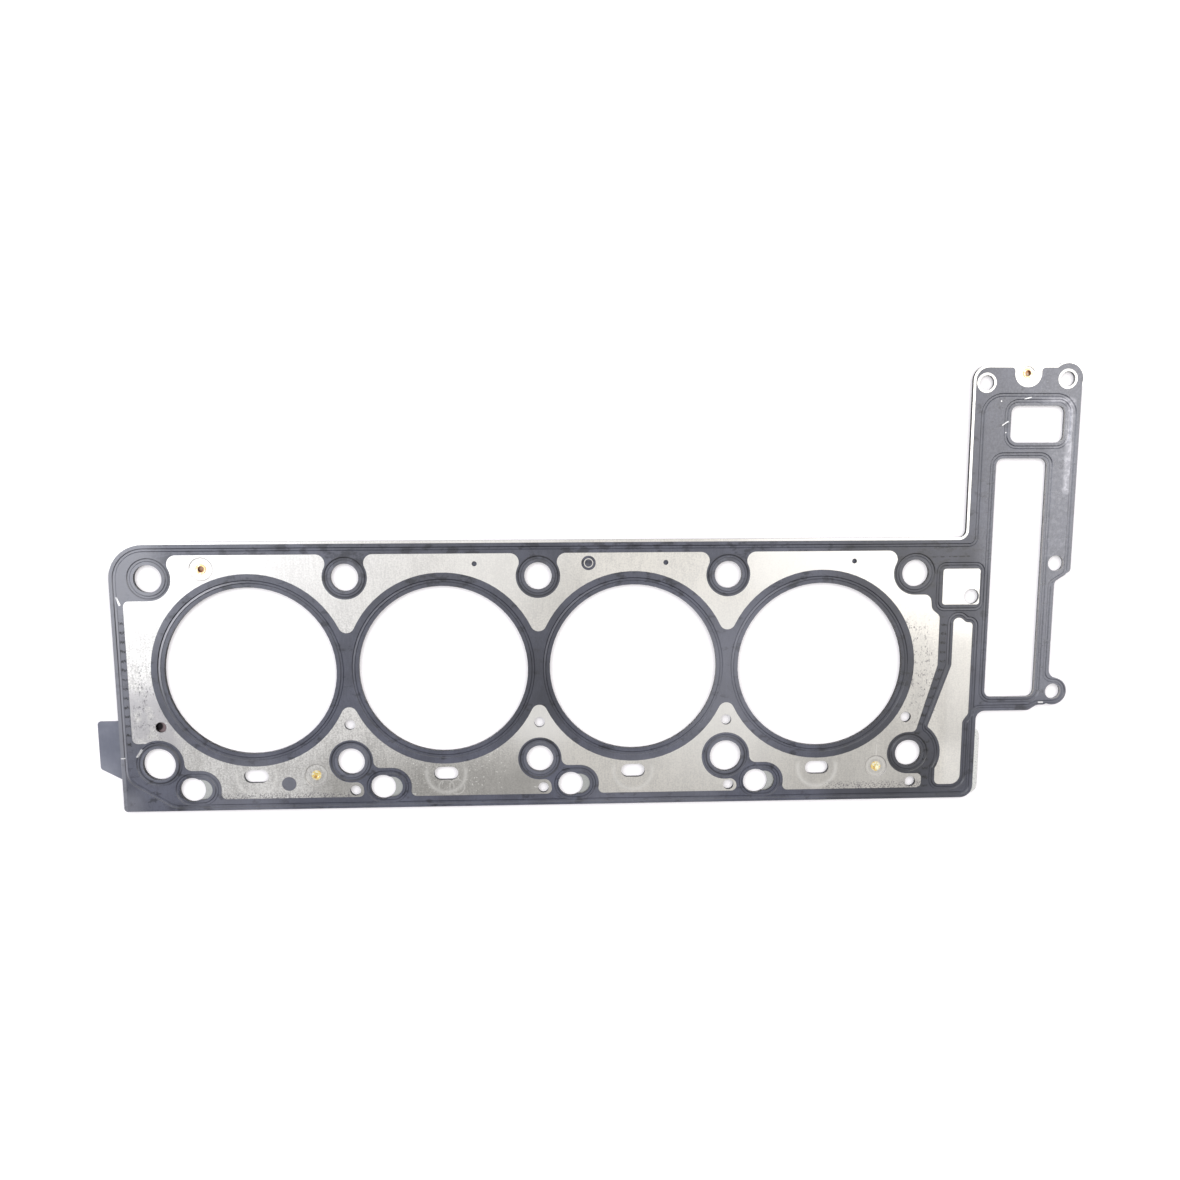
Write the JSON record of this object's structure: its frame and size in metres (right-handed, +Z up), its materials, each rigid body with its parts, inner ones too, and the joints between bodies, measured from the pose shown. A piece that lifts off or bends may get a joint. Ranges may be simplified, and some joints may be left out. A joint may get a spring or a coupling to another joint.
{
  "type": "cylinder head gasket",
  "caption": "Multi-layer steel head gasket for a row of bores, with embossed beads, printed sealing bands and a timing case arm.",
  "frame": {"origin": "centre of the first bore, on the face that lies on the block", "axes": "+X along the row of bores towards the timing arm, +Y towards the free end of the arm, +Z up through the stack towards the head"},
  "size_m": [0.5478, 0.2476, 0.0021],
  "materials": {
    "bare_steel": "bright rolled spring steel",
    "coated_steel": "steel with a thin dark coating on both faces",
    "printed_coating": "matt printed elastomer",
    "brass": "bright"
  },
  "bodies": {
    "root": {"upper_layer": "bare_steel", "carrier_layer": "bare_steel", "lower_layer": "coated_steel", "upper_print": "printed_coating", "stopper_ring_1": "bare_steel", "stopper_ring_2": "bare_steel", "stopper_ring_3": "bare_steel", "stopper_ring_4": "bare_steel", "rivet_1": "brass", "rivet_2": "brass", "rivet_3": "brass", "rivet_4": "brass"}
  },
  "joints": []
}
